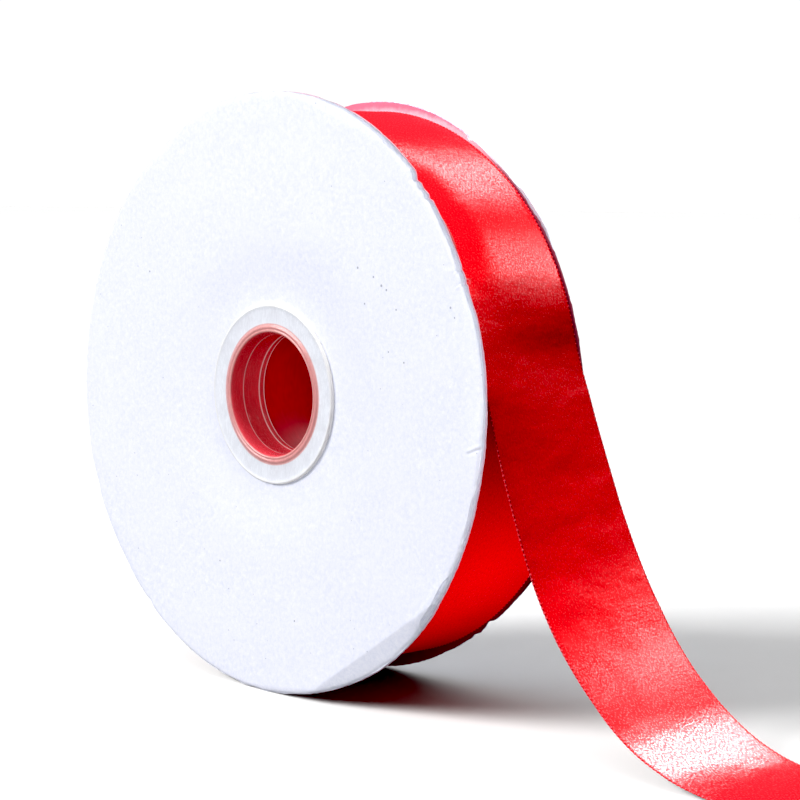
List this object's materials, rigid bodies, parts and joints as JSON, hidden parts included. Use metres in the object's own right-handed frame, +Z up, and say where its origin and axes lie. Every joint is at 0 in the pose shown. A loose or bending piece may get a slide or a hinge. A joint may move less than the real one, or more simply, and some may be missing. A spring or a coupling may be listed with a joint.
{
  "type": "ribbon spool",
  "caption": "Ribbon spool: paperboard flanges on a plastic hub with a through bore, wound with satin ribbon whose free end leaves the roll and trails onto the table.",
  "frame": {"origin": "centre of the rod bore, half way between the flanges", "axes": "+Y along the spool's axis towards the back flange, +Z up, +X towards the side the ribbon's free end leaves on; the table is the plane z = -0.081"},
  "size_m": [0.262, 0.045, 0.162],
  "materials": {
    "flange_paper": "uncoated white paper with a very fine mottle, scuffed rim",
    "flange_board": "soft pale board, crushed and frayed at the rim",
    "hub_plastic": "translucent milky moulded plastic",
    "core_plastic": "translucent moulded plastic, red of the ribbon shows through",
    "tape": "thin adhesive tape",
    "ribbon_satin": "red polyester satin, single face, woven selvedge along both edges"
  },
  "bodies": {
    "free_ribbon": {"ribbon_outer_lap": "ribbon_satin", "ribbon_tail_upper": "ribbon_satin"},
    "spool": {"front_flange_inner_paper": "flange_paper", "front_flange_board": "flange_board", "front_flange_outer_paper": "flange_paper", "back_flange_inner_paper": "flange_paper", "back_flange_board": "flange_board", "back_flange_outer_paper": "flange_paper", "front_hub_plug": "hub_plastic", "back_hub_plug": "hub_plastic", "core_tube": "core_plastic", "starter_tape": "tape", "ribbon_roll": "ribbon_satin"},
    "tail_middle": {"ribbon_tail_middle": "ribbon_satin"},
    "tail_lower": {"ribbon_tail_lower": "ribbon_satin"},
    "tail_end": {"ribbon_tail_end": "ribbon_satin"}
  },
  "joints": [
    {"name": "spool_turn", "type": "hinge", "parent": "free_ribbon", "child": "spool", "pos_m": [0, 0, 0], "axis": [0, 1, 0], "continuous": true},
    {"name": "tail_bend_upper", "type": "hinge", "parent": "free_ribbon", "child": "tail_middle", "pos_m": [0.08612, 0, -0.01932], "axis": [0, -1, 0], "range_deg": [0, 25]},
    {"name": "tail_bend_middle", "type": "hinge", "parent": "tail_middle", "child": "tail_lower", "pos_m": [0.10644, 0, -0.05591], "axis": [0, -1, 0], "range_deg": [0, 35]},
    {"name": "tail_bend_lower", "type": "hinge", "parent": "tail_lower", "child": "tail_end", "pos_m": [0.13678, 0, -0.07789], "axis": [0, -1, 0], "range_deg": [0, 45]}
  ]
}
